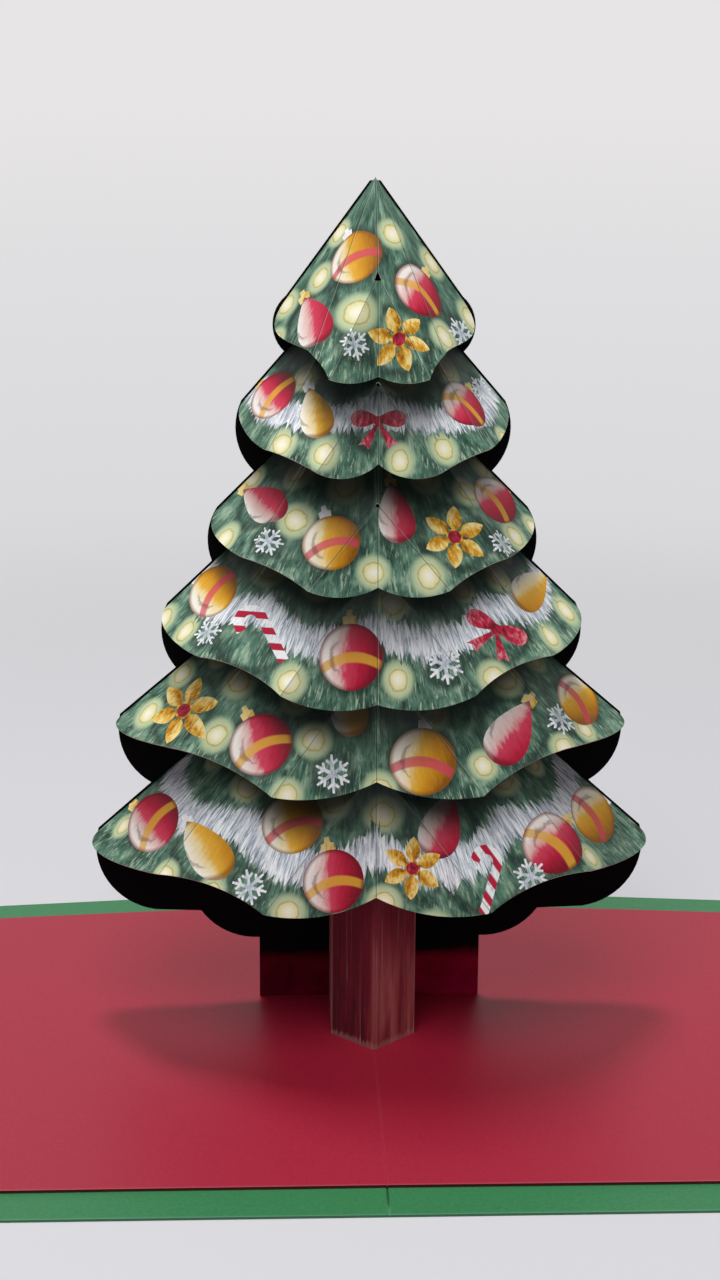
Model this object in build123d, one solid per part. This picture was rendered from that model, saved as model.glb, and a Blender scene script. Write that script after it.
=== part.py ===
# A greeting card opened flat, with a tiered fir tree that stands up across its gutter.
# X runs across the two leaves, Y along the gutter to the back, Z up from the table.
# The origin is on the table, under the middle of the card.
import os
from math import cos, pi, radians, sin, tan

from build123d import *

# The card: a cover sheet with a liner glued on it, both folded at the gutter (mm)
leaf_width = 178.0        # one leaf, from the gutter to its outer edge
card_depth = 127.0        # front edge to back edge, along the gutter
cover_thickness = 0.4
liner_thickness = 0.5
border = 8.0              # cover left showing all round the liner
corner_radius = 1.5
back_rise = 4.0           # the opened card bows: its back edge is this high at the gutter
rise_reach = 140.0        # and is down on the table again this far out on each leaf
bow_steps = 4             # steps in which that bow is drawn, from the gutter out
crease_width = 0.7        # pressed fold line along the gutter
crease_depth = 0.15

# The tree's panel: one flat sheet across the gutter
tree_setback = 77.0       # front edge of the card to the panel's front face
panel_thickness = 0.4
panel_margin = 0.35       # the panel shows this far outside the tiers' glued edges
panel_blunt = 0.15        # and this far over each tier's cut tip, where its point is cut level
foot_width = 41.6         # the panel's foot, where it meets the page
foot_skirt = 11.9         # height above the page at which the foot leaves the lowest lobe
flap_depth = 9.0          # glue flaps folded back on the page
flap_gap = 3.0            # between the two flaps, over the gutter

# The tiers: folded sheets glued to the panel along two slanted edges (mm and degrees)
tier_thickness = 0.3
ridge_lean = 38.0         # the middle ridge leans this far forward from upright
bore_length = 4.0         # length of the cut that makes the hole where the folds meet
glue_width = 4.0          # glue strip folded back under each slanted edge
glue_inset = 3.0          # the strip stops this far short of each end of that edge

# apex: height above the page, and tip: cut off the sheet's point, down each fold;
# slant: glued edge from upright, and edge: its length;
# pitch: fold between panel and wing; wing: angle of the wing, and outer: its inner fold;
# relief: apex to the hole where the four inner folds meet, and bore: its radius;
# spread and inner: the fold from the hole out to the rim, its angle
# from the middle line and its length; valley: middle fold below the hole;
# flare, swell: how strongly the wing's rim runs on past the corner and past its inner fold
# before it turns; side, centre: how far the other stretches of the rim bow out of a straight line
tiers = [
    dict(apex=152.6, tip=1.0, slant=36.4, edge=25.8, pitch=64.0, wing=31.6, outer=35.1, relief=20.4,
         bore=0.8, spread=27.0, inner=20.2, valley=17.0, flare=10.6, swell=5.3, side=-0.3, centre=0.9),
    dict(apex=140.1, tip=2.0, slant=41.1, edge=35.3, pitch=68.0, wing=27.7, outer=41.4, relief=27.0,
         bore=0.4, spread=36.0, inner=18.8, valley=13.5, flare=3.5, swell=5.7, side=-0.3, centre=1.7),
    dict(apex=122.0, tip=2.0, slant=45.0, edge=39.2, pitch=68.0, wing=26.9, outer=43.9, relief=30.0,
         bore=0.4, spread=40.4, inner=19.3, valley=14.1, flare=5.7, swell=4.8, side=-0.6, centre=1.4),
    dict(apex=112.0, tip=2.0, slant=46.2, edge=51.2, pitch=68.0, wing=22.5, outer=54.0, relief=30.0,
         bore=0.4, spread=37.8, inner=28.6, valley=24.6, flare=5.4, swell=5.5, side=-1.3, centre=1.7),
    dict(apex=94.9, tip=2.0, slant=49.5, edge=60.4, pitch=68.0, wing=20.3, outer=56.4, relief=29.0,
         bore=0.4, spread=37.7, inner=31.1, valley=22.5, flare=5.7, swell=4.6, side=-1.2, centre=1.5),
    dict(apex=78.5, tip=2.0, slant=48.3, edge=67.5, pitch=68.0, wing=21.4, outer=63.4, relief=33.0,
         bore=0.4, spread=39.0, inner=32.7, valley=23.5, flare=7.6, swell=5.6, side=-1.5, centre=1.8),
]

# The panel's lobes, one below each tier's corner: they hang down and tuck in from it
lobes = [
    dict(hang=9.9, tuck=0.0, bow=2.3),
    dict(hang=12.8, tuck=2.3, bow=2.1),
    dict(hang=11.4, tuck=-0.3, bow=1.6),
    dict(hang=12.7, tuck=2.0, bow=2.0),
    dict(hang=13.7, tuck=6.4, bow=2.6),
    dict(hang=16.2, tuck=10.4, bow=4.4),
]
skirt_run = 8.5           # nearly level run under the lowest lobe
skirt_drop = 0.3          # and how far it falls on the way in
skirt_bow = 1.6           # bow of the curve from there in to the foot

# The trunk: a column folded to a point at the front, glued to the panel behind
trunk_thickness = 0.3
trunk_reach = 23.0        # the front ridge stands this far in front of the panel
trunk_wall = 16.2         # its side walls run this far out from the panel
trunk_width = 15.2
trunk_height = 34.0       # it ends inside the lowest tier
trunk_glue = 4.0          # strips turned in and glued to the panel, one each side
trunk_tab = 3.5           # tabs turned in on the page

front_edge = -card_depth / 2
tree_y = front_edge + tree_setback
sheet_top = cover_thickness + liner_thickness


def page_rise(share):
    """Height of the bowed card at the gutter, at a share of the way from front to back."""
    return back_rise * share


tree_base = sheet_top + page_rise(tree_setback / card_depth)


def page_layer(low, high):
    """The whole card's slice between two heights: flat in front and bowed at the back."""
    def section(y, rise):
        def at(x, z):
            hump = 0.5 * (1 + cos(pi * x / rise_reach)) if abs(x) < rise_reach else 0.0
            return Vector(x, y, z + rise * hump)

        def run(z):
            stations = [at(rise_reach * i / bow_steps, z) for i in range(-bow_steps, bow_steps + 1)]
            middle = (Spline(*stations, tangents=[(1, 0, 0), (1, 0, 0)]) if rise
                      else Line(stations[0], stations[-1]))
            return [Line(at(-leaf_width, z), stations[0]), middle,
                    Line(stations[-1], at(leaf_width, z))]

        bottom, top = run(low), run(high)
        ends = [Line(at(side * leaf_width, low), at(side * leaf_width, high)) for side in (-1, 1)]
        return Wire([edge.edge() for edge in bottom + top + ends])

    return Solid.make_loft([section(front_edge, 0.0), section(-front_edge, back_rise)], ruled=True)


def plan_block(width, depth, radius):
    """A tall upright block with rounded corners that cuts a sheet to its outline."""
    outline = RectangleRounded(width, depth, radius)
    reach = back_rise + sheet_top
    return extrude(Location((0, 0, -reach)) * outline, amount=3 * reach)


def gutter_crease(top):
    """The pressed line along the gutter in a sheet whose upper face starts at this height."""
    def notch(y, rise):
        half, z = crease_width / 2, top + rise
        points = [(-half, y, z + crease_depth), (half, y, z + crease_depth), (0, y, z - crease_depth)]
        return Polyline(*points, close=True).wire()

    return Solid.make_loft([notch(front_edge, 0.0), notch(-front_edge, back_rise)], ruled=True)


def cover_card():
    """The outer sheet, down on the table in front and at the leaves' outer ends."""
    sheet = page_layer(0.0, cover_thickness) & plan_block(2 * leaf_width, card_depth, corner_radius)
    return sheet - gutter_crease(cover_thickness)


def liner_sheet():
    """The inner page, one border smaller than the cover on every side."""
    sheet = page_layer(cover_thickness, sheet_top)
    sheet &= plan_block(2 * (leaf_width - border), card_depth - 2 * border, corner_radius)
    return sheet - gutter_crease(sheet_top)


def upright(sketch_face, thickness):
    """Stand an outline drawn in X and height on the tree's base and give it its thickness."""
    back = Plane(origin=(0, tree_y + thickness, tree_base), x_dir=(1, 0, 0), z_dir=(0, -1, 0))
    return extrude(back * sketch_face, amount=thickness)


def lobe_outline(tier, lobe, lowest):
    """One tier's share of the panel: a point, two slanted edges and a hanging lobe each side."""
    slant = radians(tier["slant"])
    peak = tier["apex"] + panel_margin / sin(slant)
    level_top = tier["apex"] - tier["tip"] * cos(slant) + panel_blunt
    shoulder = ((peak - level_top) * tan(slant), level_top)
    side = tier["edge"] * sin(slant) + panel_margin * cos(slant)
    corner = (side, tier["apex"] - tier["edge"] * cos(slant) + panel_margin * sin(slant))
    low = (side - lobe["tuck"], corner[1] - lobe["hang"])
    edges = [Line((0, level_top), shoulder), Line(shoulder, corner)]
    edges.append(SagittaArc(corner, low, lobe["bow"]))
    if lowest:
        level = (low[0] - skirt_run, low[1] - skirt_drop)
        foot = (foot_width / 2, foot_skirt)
        edges += [Line(low, level), SagittaArc(level, foot, skirt_bow), Line(foot, (0, foot_skirt))]
        edges.append(Line((0, foot_skirt), (0, level_top)))
    else:
        edges += [Line(low, (0, low[1])), Line((0, low[1]), (0, level_top))]
    half = make_face(edges)
    return half + mirror(half, Plane.YZ)


def page_flap(outline, thickness):
    """A flap that lies on the page: its plan outline, following the bow."""
    column = extrude(outline, amount=2 * (back_rise + sheet_top + thickness))
    return page_layer(sheet_top, sheet_top + thickness) & column


def tree_panel():
    """The dark silhouette sheet: six pointed tiers, a broad foot and two glue flaps."""
    outline = Pos(0, (foot_skirt - sheet_top) / 2) * Rectangle(foot_width, foot_skirt + sheet_top)
    for tier, lobe in zip(tiers, lobes):
        outline += lobe_outline(tier, lobe, lowest=tier is tiers[-1])
    panel = upright(outline, panel_thickness) - page_layer(-back_rise, sheet_top)
    score = Rectangle(crease_width / 2, 2 * tiers[0]["apex"])
    panel -= upright(score, crease_depth)
    flap_width = (foot_width - flap_gap) / 2
    flap_middle = (foot_width + flap_gap) / 4
    for side in (-1, 1):
        plan = Pos(side * flap_middle, tree_y + flap_depth / 2) * Rectangle(flap_width, flap_depth)
        panel += page_flap(plan, panel_thickness)
    return panel


def meet(*planes):
    """The point that three planes share, each one given by a point on it and its normal."""
    (p1, n1), (p2, n2), (p3, n3) = planes
    total = n2.cross(n3) * p1.dot(n1) + n3.cross(n1) * p2.dot(n2) + n1.cross(n2) * p3.dot(n3)
    return total * (1 / n1.dot(n2.cross(n3)))


def sheet_facet(outer, inner, bends, normal, thickness):
    """A flat facet of folded sheet. bends, by edge number: an arc's sagitta or a curve's handles."""
    def outline(points, drop):
        edges = []
        for i, start in enumerate(points):
            end = points[(i + 1) % len(points)]
            bend = bends.get(i)
            if bend is None:
                edges.append(Edge.make_line(start, end))
            elif isinstance(bend, tuple):
                edges.append(Edge.make_bezier(start, start + bend[0], end + bend[1], end))
            else:
                a, b = outer[i], outer[(i + 1) % len(outer)]
                away = (b - a).cross(normal).normalized()
                crown = (a + b) * 0.5 + away * bend - normal * drop
                edges.append(Edge.make_three_point_arc(start, crown, end))
        return Wire(edges)

    return Solid.make_loft([outline(outer, 0.0), outline(inner, thickness)], ruled=True)


def tier_sheet(tier):
    """A printed sheet, folded into two wings, two sides and two middle facets."""
    t = tier_thickness
    slant, lean, pitch = (radians(value) for value in (tier["slant"], ridge_lean, tier["pitch"]))
    front, middle = Vector(0, -1, 0), Vector(1, 0, 0)
    apex = Vector(0, tree_y, tree_base + tier["apex"])

    # Directions of the folds on the right-hand half, all from the apex or the relief hole
    edge = Vector(sin(slant), 0, -cos(slant))
    inward = Vector(-cos(slant), 0, -sin(slant))
    wing_slope = inward * cos(pitch) + front * sin(pitch)
    wing = radians(tier["wing"])
    outer = edge * cos(wing) + wing_slope * sin(wing)
    ridge = Vector(0, -sin(lean), -cos(lean))
    across = (outer - ridge * outer.dot(ridge)).normalized()
    spread = radians(tier["spread"])
    inner = ridge * cos(spread) + across * sin(spread)
    fold = inner.cross(Vector(-inner.X, inner.Y, inner.Z)).normalized()
    valley = ridge - fold * (2 * ridge.dot(fold))

    # Outward faces of the three facets and of the glue strip
    wing_face = wing_slope.cross(edge).normalized()
    side_face = ridge.cross(outer).normalized()
    middle_face = valley.cross(inner).normalized()
    glue_face = Vector(0, 1, 0)

    hole = apex + ridge * tier["relief"]
    corner = apex + edge * tier["edge"]
    outer_end = apex + outer * tier["outer"]
    inner_end = hole + inner * tier["inner"]
    valley_end = hole + valley * tier["valley"]

    # The sheet's under face lies one thickness in, so each fold gets a mitred corner
    wing_under = (apex - wing_face * t, wing_face)
    side_under = (apex - side_face * t, side_face)
    middle_under = (hole - middle_face * t, middle_face)
    glue_under = (apex - glue_face * t, glue_face)
    mid_plane = (apex, middle)

    def under(point, along, first, second):
        return meet((point, along), first, second)

    tip_edge, tip_outer, tip_ridge = (apex + way * tier["tip"] for way in (edge, outer, ridge))
    tip_edge_in = under(tip_edge, edge, wing_under, glue_under)
    tip_outer_in = under(tip_outer, outer, wing_under, side_under)
    tip_ridge_in = under(tip_ridge, ridge, side_under, mid_plane)
    corner_in = under(corner, edge, wing_under, glue_under)
    outer_in = under(outer_end, outer, wing_under, side_under)
    inner_in = under(inner_end, inner, side_under, middle_under)
    valley_in = under(valley_end, valley, middle_under, mid_plane)
    hole_in = meet(side_under, middle_under, mid_plane)

    # The wing's rim starts in line with the side facet's rim and ends in line with the glued edge
    rim = outer_end - inner_end
    along = rim.dot(outer)
    outward = (edge - outer * edge.dot(outer)).normalized()
    run_on = (outer * along + outward * (rim - outer * along).length).normalized()
    handles = (run_on * tier["swell"], edge * tier["flare"])

    wing_piece = sheet_facet([tip_edge, tip_outer, outer_end, corner],
                             [tip_edge_in, tip_outer_in, outer_in, corner_in],
                             {2: handles}, wing_face, t)
    side_piece = sheet_facet([tip_ridge, hole, inner_end, outer_end, tip_outer],
                             [tip_ridge_in, hole_in, inner_in, outer_in, tip_outer_in],
                             {2: tier["side"]}, side_face, t)
    middle_piece = sheet_facet([hole, valley_end, inner_end],
                               [hole_in, valley_in, inner_in],
                               {1: tier["centre"]}, middle_face, t)

    strip_start = apex + edge * (tier["tip"] + glue_inset)
    strip_end = corner - edge * glue_inset
    strip_far = [strip_end - edge * glue_width + inward * glue_width,
                 strip_start + edge * glue_width + inward * glue_width]
    strip = [strip_start, strip_end] + strip_far
    strip_in = [under(point, edge, wing_under, glue_under) for point in strip[:2]]
    strip_in += [point - glue_face * t for point in strip_far]
    glue_piece = sheet_facet(strip, strip_in, {}, glue_face, t)

    half = wing_piece + side_piece + middle_piece + glue_piece
    sheet = half + mirror(half, Plane.YZ)
    bore_way = (side_face + middle_face + Vector(-side_face.X - middle_face.X, 0, 0)).normalized()
    bore = Plane(origin=hole + bore_way * (bore_length / 2), z_dir=-bore_way) * Circle(tier["bore"])
    return sheet - extrude(bore, amount=bore_length)


def strip_plan(points, thickness):
    """Plan of an upright folded sheet: the outer line and one a thickness to its right."""
    def normal(a, b):
        run = (b - a).normalized()
        return Vector(run.Y, -run.X)

    normals = [normal(a, b) for a, b in zip(points, points[1:])]
    mitres = [normals[0]]
    for first, second in zip(normals, normals[1:]):
        mitres.append((first + second) * (1 / (1 + first.dot(second))))
    mitres.append(normals[-1])
    inner = [point + way * thickness for point, way in zip(points, mitres)]
    return make_face(Polyline(*points, *reversed(inner), close=True))


def trunk_column():
    """The trunk: a pointed front, two side walls, strips on the panel and tabs on the page."""
    half = trunk_width / 2
    ridge = Vector(0, tree_y - trunk_reach)
    shoulder = Vector(half, tree_y - trunk_wall)
    root = Vector(half, tree_y)
    strip_tip = Vector(half - trunk_glue, tree_y)
    right = [strip_tip, root, shoulder, ridge]
    left = [Vector(-point.X, point.Y) for point in reversed(right[:-1])]
    plan = strip_plan(right + left, trunk_thickness)
    column = extrude(plan, amount=tree_base + trunk_height) - page_layer(-back_rise, sheet_top)
    for side in (-1, 1):
        outline = [(side * point.X, point.Y) for point in (ridge, shoulder)]
        outline += [(side * half, tree_y - trunk_wall + trunk_tab), (0, tree_y - trunk_reach + trunk_tab)]
        column += page_flap(make_face(Polyline(*outline, close=True)), trunk_thickness)
    return column


def write(part, name):
    """Save one piece of the card under its own name."""
    part.label = name
    export_step(part, f"parts/{name}.step")


os.makedirs("parts", exist_ok=True)
write(cover_card(), "cover_card")
write(liner_sheet(), "liner_sheet")
write(tree_panel(), "tree_panel")
write(trunk_column(), "trunk_column")
for number, tier in enumerate(tiers, start=1):
    write(tier_sheet(tier), f"tier_{number}")
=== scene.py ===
# A pop up card, opened on a table: green cover, red page and a folded fir tree in six printed tiers.
# Everything is in metres in the card's own frame. Sizes written in mm are turned by mm().
import bpy
import random
from math import acos, atan2, cos, degrees, inf, pi, radians, sin
from mathutils import Matrix, Vector
from mathutils.geometry import delaunay_2d_cdt


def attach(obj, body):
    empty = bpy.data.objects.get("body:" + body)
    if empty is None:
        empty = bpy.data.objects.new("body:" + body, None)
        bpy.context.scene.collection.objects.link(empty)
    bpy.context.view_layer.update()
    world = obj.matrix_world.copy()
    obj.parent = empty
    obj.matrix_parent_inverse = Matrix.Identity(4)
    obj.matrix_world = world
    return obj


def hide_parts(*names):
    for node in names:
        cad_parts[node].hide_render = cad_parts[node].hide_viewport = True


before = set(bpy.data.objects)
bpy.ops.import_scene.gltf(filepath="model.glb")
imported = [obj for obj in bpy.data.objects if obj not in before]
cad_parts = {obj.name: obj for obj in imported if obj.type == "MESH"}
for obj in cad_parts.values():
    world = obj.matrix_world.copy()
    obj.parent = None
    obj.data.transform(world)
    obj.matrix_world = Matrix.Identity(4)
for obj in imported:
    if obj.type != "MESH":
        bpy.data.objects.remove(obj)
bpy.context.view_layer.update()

print("card: frame loaded,", len(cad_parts), "nodes")


def mm(value):
    return value / 1000.0


def clamp(value):
    return max(0.0, min(1.0, value))


def mirror(p):  # the same place on the other half of a sheet or of the tree
    return Vector((-p.x, *p[1:]))


def hexColour(text):
    channels = [int(text[i:i + 2], 16) / 255 for i in (1, 3, 5)]
    return [c / 12.92 if c <= 0.04045 else ((c + 0.055) / 1.055) ** 2.4 for c in channels] + [1.0]


def addNode(tree, kind, settings=None, links=None):
    # settings may be just an operation's name; links gives each socket a node, an output or a value
    node = tree.nodes.new("ShaderNode" + kind)
    if isinstance(settings, str):
        settings = {"operation": settings}
    for name, value in (settings or {}).items():
        if name == "stops":  # colour ramp: its places, then their hex colours
            places, colours = value
            ramp = node.color_ramp
            while len(ramp.elements) < len(places):
                ramp.elements.new(0.5)
            for element, place, colour in zip(ramp.elements, places, colours):
                element.position = place
                element.color = hexColour(colour)
        else:
            setattr(node, name, value)
    for socket, source in (links or {}).items():
        if isinstance(source, bpy.types.Node):
            source = source.outputs[0]
        if isinstance(source, bpy.types.NodeSocket):
            tree.links.new(source, node.inputs[socket])
        elif isinstance(source, str):
            node.inputs[socket].default_value = hexColour(source)
        else:
            node.inputs[socket].default_value = source
    return node


def newMaterial(name):
    material = bpy.data.materials.new(name)
    material.use_nodes = True
    material.node_tree.nodes.clear()
    return material, material.node_tree


def closeMaterial(tree, colour, roughness, bump, bumpMm, specular):
    relief = addNode(tree, "Bump", None, {"Strength": 1.0, "Distance": mm(bumpMm), "Height": bump})
    shader = addNode(tree, "BsdfPrincipled", None, {"Base Color": colour, "Roughness": roughness,
                                                    "Specular IOR Level": specular, "Normal": relief})
    addNode(tree, "OutputMaterial", None, {"Surface": shader})


def layPaint(tree, base, colour, value, low, high, strength=1.0):
    # one paint over another, from none where the value is low to all of it where it is high
    cover = addNode(tree, "MapRange", {"interpolation_type": "SMOOTHSTEP"},
                    {0: value, 1: low, 2: high, 4: strength})
    return addNode(tree, "Mix", {"data_type": "RGBA"}, {0: cover, 6: base, 7: colour}).outputs[2]


def paperGrain(tree, place, grainMm, roughness=0.7):  # fibres or felt marks, so wide in mm
    return addNode(tree, "TexNoise", None,
                   {"Vector": place, "Scale": 1 / mm(grainMm), "Detail": 4.0, "Roughness": roughness})


# Where the tree stands on the card, and how its sheets are folded (mm and degrees)
treeSpot = {"front": 13.5, "base": 3.325}
foldLook = {
    "sheet": 0.3, "lean": 38.0, "strip": 4.0, "stripInset": 3.0,
    "tipTop": 0.1, "tipSide": 0.45,  # where the tip's rounded point starts, as shares of the cut tip
    "soft": 0.55,  # a fold is rounded this far on both sides, in these mesh rows
    "rows": (0.0, 0.1, -0.1, 0.28, -0.28, 0.55, -0.55),
    "grid": 1.1, "rimStep": 0.7, "wingPoints": 2,  # mesh spacing inside a sheet and on its rim; points per mm
}
tierFolds = [
    dict(apex=152.6, tip=1.0, slant=36.4, edge=25.8, pitch=64.0, wing=31.6, outer=35.1, relief=20.4,
         bore=0.8, spread=27.0, inner=20.2, valley=17.0, flare=10.6, swell=5.3, side=-0.3, centre=0.9),
    dict(apex=140.1, tip=2.0, slant=41.1, edge=35.3, pitch=68.0, wing=27.7, outer=41.4, relief=27.0,
         bore=0.4, spread=36.0, inner=18.8, valley=13.5, flare=3.5, swell=5.7, side=-0.3, centre=1.7),
    dict(apex=122.0, tip=2.0, slant=45.0, edge=39.2, pitch=68.0, wing=26.9, outer=43.9, relief=30.0,
         bore=0.4, spread=40.4, inner=19.3, valley=14.1, flare=5.7, swell=4.8, side=-0.6, centre=1.4),
    dict(apex=112.0, tip=2.0, slant=46.2, edge=51.2, pitch=68.0, wing=22.5, outer=54.0, relief=30.0,
         bore=0.4, spread=37.8, inner=28.6, valley=24.6, flare=5.4, swell=5.5, side=-1.3, centre=1.7),
    dict(apex=94.9, tip=2.0, slant=49.5, edge=60.4, pitch=68.0, wing=20.3, outer=56.4, relief=29.0,
         bore=0.4, spread=37.7, inner=31.1, valley=22.5, flare=5.7, swell=4.6, side=-1.2, centre=1.5),
    dict(apex=78.5, tip=2.0, slant=48.3, edge=67.5, pitch=68.0, wing=21.4, outer=63.4, relief=33.0,
         bore=0.4, spread=39.0, inner=32.7, valley=23.5, flare=7.6, swell=5.6, side=-1.5, centre=1.8),
]


def polar(angle, reach):  # a place on the flat sheet: degrees from its middle line, mm from its apex
    return Vector((reach * sin(radians(angle)), -reach * cos(radians(angle))))


def flatMap(flatA, spaceA, flatB, spaceB):
    # columns that carry the flat sheet's x and y into space, from two directions known in both
    flat = Matrix(((flatA.x, flatB.x), (flatA.y, flatB.y))).inverted()
    return spaceA * flat[0][0] + spaceB * flat[1][0], spaceA * flat[0][1] + spaceB * flat[1][1]


class FoldedSheet:
    # one tier's sheet: its flat outline and where each of its facets lies once folded
    def __init__(self, fold):
        self.fold = fold
        slant, lean, pitch = radians(fold["slant"]), radians(foldLook["lean"]), radians(fold["pitch"])
        wing, spread = radians(fold["wing"]), radians(fold["spread"])
        self.apex = Vector((0, treeSpot["front"], treeSpot["base"] + fold["apex"]))
        edge = Vector((sin(slant), 0, -cos(slant)))
        inward = Vector((-cos(slant), 0, -sin(slant)))
        wingSlope = inward * cos(pitch) + Vector((0, -1, 0)) * sin(pitch)
        outer = edge * cos(wing) + wingSlope * sin(wing)
        ridge = Vector((0, -sin(lean), -cos(lean)))
        self.sideAngle = degrees(acos(ridge.dot(outer)))
        self.edgeAngle = self.sideAngle + fold["wing"]
        across = (outer - ridge * outer.dot(ridge)).normalized()
        inner = ridge * cos(spread) + across * sin(spread)
        crease = inner.cross(mirror(inner)).normalized()
        valley = ridge - crease * (2 * ridge.dot(crease))
        tip, down = Vector((0, 0)), Vector((0, -1))
        self.hole = Vector((0, -fold["relief"]))
        holeSpace = self.apex + ridge * fold["relief"]
        self.outerFlat = polar(self.sideAngle, 1)
        self.innerFlat = polar(fold["spread"], 1)
        self.edgeFlat = polar(self.edgeAngle, 1)
        self.beyond = Vector((-self.edgeFlat.y, self.edgeFlat.x))
        self.facets = {  # name: (flat origin, place in space, x column, y column)
            "side": (tip, self.apex, *flatMap(down, ridge, self.outerFlat, outer)),
            "wing": (tip, self.apex, *flatMap(self.outerFlat, outer, self.edgeFlat, edge)),
            "middle": (self.hole, holeSpace, *flatMap(down, valley, self.innerFlat, inner)),
            "strip": (tip, self.apex, *flatMap(self.edgeFlat, edge, self.beyond, inward)),
        }

    def facetOf(self, p):
        if p.cross(self.edgeFlat) < -1e-6:
            return "strip"
        if p.cross(self.outerFlat) < 0:
            return "wing"
        fromHole = p - self.hole
        if fromHole.y < 0 and fromHole.cross(self.innerFlat) > 0:
            return "middle"
        return "side"

    def carry(self, name, p, depth):
        origin, place, columnX, columnY = self.facets[name]
        normal = columnX.cross(columnY).normalized()
        q = p - origin
        return place + columnX * q.x + columnY * q.y - normal * depth

    def folds(self, p):
        # folds near a point on the right half: (signed distance, facet on its plus side, on its minus side);
        # a star marks the left half's facet
        found = []
        fromHole = p - self.hole
        if p.y > self.hole.y:
            found.append((p.x, "side", "side*"))
        else:
            found.append((p.x, "middle", "middle*"))
        if p.dot(self.outerFlat) > 0:
            found.append((-p.cross(self.outerFlat), "wing", "side"))
        if fromHole.dot(self.innerFlat) > 0:
            found.append((-fromHole.cross(self.innerFlat), "side", "middle"))
        return found

    def place(self, flatPoint, depth):
        # flat point to space, with its folds rounded a little; depth goes into the sheet
        p = Vector((abs(flatPoint.x), flatPoint.y))
        name = self.facetOf(p)
        spot = self.carry(name, p, depth)
        offEdge = abs(p.cross(self.edgeFlat))
        if name == "strip" or offEdge < 1e-4:
            if offEdge < 0.05 and depth:
                spot = self.mitre(p, depth)
        else:
            distance, plus, minus = min(self.folds(p), key=lambda item: abs(item[0]))
            if abs(distance) < foldLook["soft"]:
                share = 0.5 + 0.5 * distance / foldLook["soft"]
                spots = []
                for facet in (plus, minus):
                    if facet.endswith("*"):
                        spots.append(mirror(self.carry(facet[:-1], mirror(p), depth)))
                    else:
                        spots.append(self.carry(facet, p, depth))
                spot = spots[0] * share + spots[1] * (1 - share)
        return mirror(spot) if flatPoint.x < 0 else spot

    def mitre(self, p, depth):
        # the underside where the glue strip turns in from the wing
        normals = []
        for facet in ("wing", "strip"):
            _, _, columnX, columnY = self.facets[facet]
            normals.append(columnX.cross(columnY).normalized())
        share = depth / (1 + normals[0].dot(normals[1]))
        return self.carry("wing", p, 0) - (normals[0] + normals[1]) * share

    def rim(self, start, end, bow):
        # points after start, up to end, along an arc that bows away from the apex
        span = (end - start).length
        count = max(3, round(span / foldLook["rimStep"]))
        away = Vector((-(end - start).y, (end - start).x)).normalized()
        if away.dot(start + end) < 0:
            away = -away
        radius = (span * span / 4 + bow * bow) / (2 * abs(bow))
        chordDrop = (radius * radius - span * span / 4) ** 0.5
        points = []
        for i in range(1, count + 1):
            along = span * (i / count - 0.5)
            height = (radius * radius - along * along) ** 0.5 - chordDrop
            points.append(start + (end - start) * (i / count) + away * (height if bow > 0 else -height))
        return points

    def wingRim(self, start, first, second, end):
        # points after start along the curve that a wing's rim takes, in line with both its neighbours
        count = round(foldLook["wingPoints"] * (end - start).length)
        points = []
        for i in range(1, count + 1):
            s = i / count
            r = 1 - s
            points.append(start * r ** 3 + first * (3 * r * r * s) + second * (3 * r * s * s) + end * s ** 3)
        return points

    def halfOutline(self):
        # right half of the flat outline: its tip and glue strip, then its rim from the corner to the middle
        f = self.fold
        inset, width = foldLook["stripInset"], foldLook["strip"]
        corner = self.edgeFlat * f["edge"]
        start = self.edgeFlat * (f["tip"] + inset)
        end = corner - self.edgeFlat * inset
        top = [Vector((0, -f["tip"] * foldLook["tipTop"])), self.outerFlat * f["tip"] * foldLook["tipSide"],
               self.edgeFlat * f["tip"], start, start + (self.edgeFlat + self.beyond) * width,
               end + (self.beyond - self.edgeFlat) * width, end]
        outerEnd = self.outerFlat * f["outer"]
        innerEnd = self.hole + self.innerFlat * f["inner"]
        valleyEnd = self.hole + Vector((0, -f["valley"]))
        flare = self.edgeFlat * f["flare"]
        swell = (outerEnd - innerEnd).normalized() * f["swell"]
        rim = [corner]
        rim += self.wingRim(corner, corner + flare, outerEnd + swell, outerEnd)
        rim += self.rim(outerEnd, innerEnd, f["side"])
        rim += self.rim(innerEnd, valleyEnd, f["centre"])
        return top, rim

    def outline(self):
        top, rim = self.halfOutline()
        half = top + rim
        return half + [mirror(p) for p in reversed(half[1:-1])]


# Ornaments printed on the tiers: outlines in a unit frame, then turned, sized and placed (size in mm)
def circleShape(count=28):
    return [Vector((cos(2 * pi * i / count), sin(2 * pi * i / count))) for i in range(count)]


def holeShape(size):
    # the cut where four folds meet: a pinhole, or a small triangle, point up, with its corners rounded
    if size < 0.6:
        return [p * size for p in circleShape(10)]
    corners = [polar(180 + turn, size * 1.45) for turn in (0, 130, 230)]
    points = []
    for before, corner, after in zip(corners[-1:] + corners, corners, corners[1:] + corners[:1]):
        points += [corner.lerp(before, 0.18), corner * 0.93, corner.lerp(after, 0.18)]
    return points


def dropShape(count=32):
    turns = [2 * pi * i / count for i in range(count)]
    return [Vector((0.82 * sin(t) * sin(t / 2), 1.1 * cos(t))) for t in turns]


def flakeShape():
    # snowflake: one arm, with a twig on each side, turned to all six
    twig = [(0.10, 0.17), (0.09, 0.46), (0.34, 0.66), (0.27, 0.78), (0.08, 0.64), (0.06, 1.0)]
    arm = [Vector(p) for p in twig] + [Vector((-x, y)) for x, y in reversed(twig)]
    points = []
    for i in range(6):
        turn = Matrix.Rotation(-pi / 3 * i, 2)
        points += [turn @ p for p in reversed(arm[1:])]
    return points


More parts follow.
